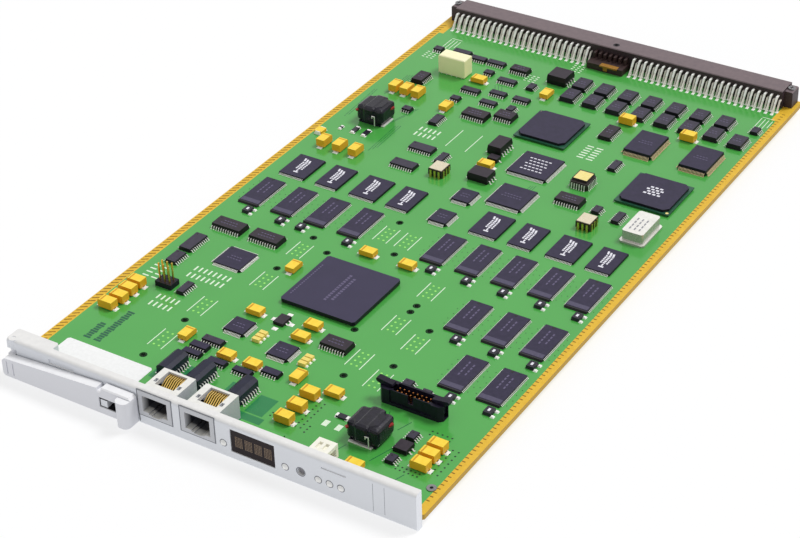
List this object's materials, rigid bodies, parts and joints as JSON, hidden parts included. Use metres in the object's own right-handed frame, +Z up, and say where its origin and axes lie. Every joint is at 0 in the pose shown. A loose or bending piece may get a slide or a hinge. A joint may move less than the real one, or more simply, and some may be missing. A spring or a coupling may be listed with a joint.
{
  "type": "pbx interface card",
  "caption": "Flat circuit card with a moulded faceplate, swinging latch lever, two line sockets, small display, cable header and backplane connector.",
  "frame": {"origin": "middle of the card's footprint, on the surface it lies on, below the faceplate's lower edge", "axes": "+X along the faceplate away from the latch lever's pivot, +Y from the faceplate to the backplane connector, +Z up from the board's parts side"},
  "size_m": [0.1944, 0.3636, 0.0175],
  "materials": {
    "board_laminate": "satin",
    "plate_plastic": "matte",
    "lever_plastic": "matte",
    "pin_steel": "satin",
    "rivet_brass": "satin",
    "jack_plastic": "matte",
    "contact_gold": "polished",
    "display_body": "matte",
    "display_glass": "gloss",
    "lamp_plastic": "gloss",
    "block_plastic": "matte",
    "switch_plastic": "matte",
    "button_plastic": "satin",
    "connector_plastic": "matte",
    "pin_tin": "satin",
    "header_plastic": "satin",
    "chip_plastic": "matte",
    "chip_grey": "matte",
    "chip_brown": "matte",
    "package_green": "satin",
    "tantalum_yellow": "satin",
    "solder_tin": "satin",
    "resistor_black": "satin",
    "ferrite_cream": "matte",
    "inductor_tape": "satin",
    "relay_cream": "matte",
    "can_metal": "satin",
    "ceramic_dark": "satin",
    "socket_cream": "matte",
    "label_white": "matte"
  },
  "bodies": {
    "card": {"circuit_board": "board_laminate", "faceplate": "plate_plastic", "faceplate_rivets": "rivet_brass", "lever_pivot_pin": "pin_steel", "line_jack_left": "jack_plastic", "line_jack_right": "jack_plastic", "jack_contacts": "contact_gold", "display_module": "display_body", "display_window": "display_glass", "lamp_lenses": "lamp_plastic", "corner_block": "block_plastic", "reset_switch": "switch_plastic", "backplane_connector": "connector_plastic", "connector_screws": "pin_steel", "connector_pins_left": "pin_tin", "connector_pins_right": "pin_tin", "header_shroud": "header_plastic", "header_pins": "contact_gold", "header_pivots": "header_plastic", "processor": "chip_plastic", "ball_package_boards": "package_green", "ball_package_caps": "chip_plastic", "quad_flat_packs": "chip_plastic", "flash_chips": "chip_plastic", "memory_chips": "chip_plastic", "memory_bypass_parts": "resistor_black", "driver_chips": "chip_grey", "wide_chips": "chip_brown", "narrow_chips": "chip_grey", "line_network_chips": "chip_plastic", "power_parts": "header_plastic", "tall_tantalums": "tantalum_yellow", "low_tantalums": "tantalum_yellow", "tantalum_terminals": "solder_tin", "chip_resistors": "resistor_black", "ferrite_beads": "ferrite_cream", "inductor_bases": "solder_tin", "power_inductors": "inductor_tape", "line_transformers": "chip_plastic", "relay": "relay_cream", "can_oscillator": "can_metal", "ceramic_oscillators": "ceramic_dark", "socketed_chip": "socket_cream", "jumper_header": "header_plastic", "jumper_pins": "contact_gold", "board_label": "label_white"},
    "lever": {"latch_lever": "lever_plastic"},
    "button": {"reset_button": "button_plastic"},
    "ejector_left": {"header_latch_left": "header_plastic"},
    "ejector_right": {"header_latch_right": "header_plastic"}
  },
  "joints": [
    {"name": "latch_lever_swing", "type": "hinge", "parent": "card", "child": "lever", "pos_m": [-0.09425, -0.1721, 0.007], "axis": [0, 0, -1], "range_deg": [0, 70]},
    {"name": "reset_button_press", "type": "slide", "parent": "card", "child": "button", "axis": [0, 1, 0], "range_m": [0, 0.0012], "stiffness_N_per_m": 400},
    {"name": "header_latch_left_swing", "type": "hinge", "parent": "card", "child": "ejector_left", "pos_m": [0.04955, -0.11743, 0.008], "axis": [0, -1, 0], "range_deg": [0, 25]},
    {"name": "header_latch_right_swing", "type": "hinge", "parent": "card", "child": "ejector_right", "pos_m": [0.07235, -0.11743, 0.008], "axis": [0, 1, 0], "range_deg": [0, 25]}
  ]
}
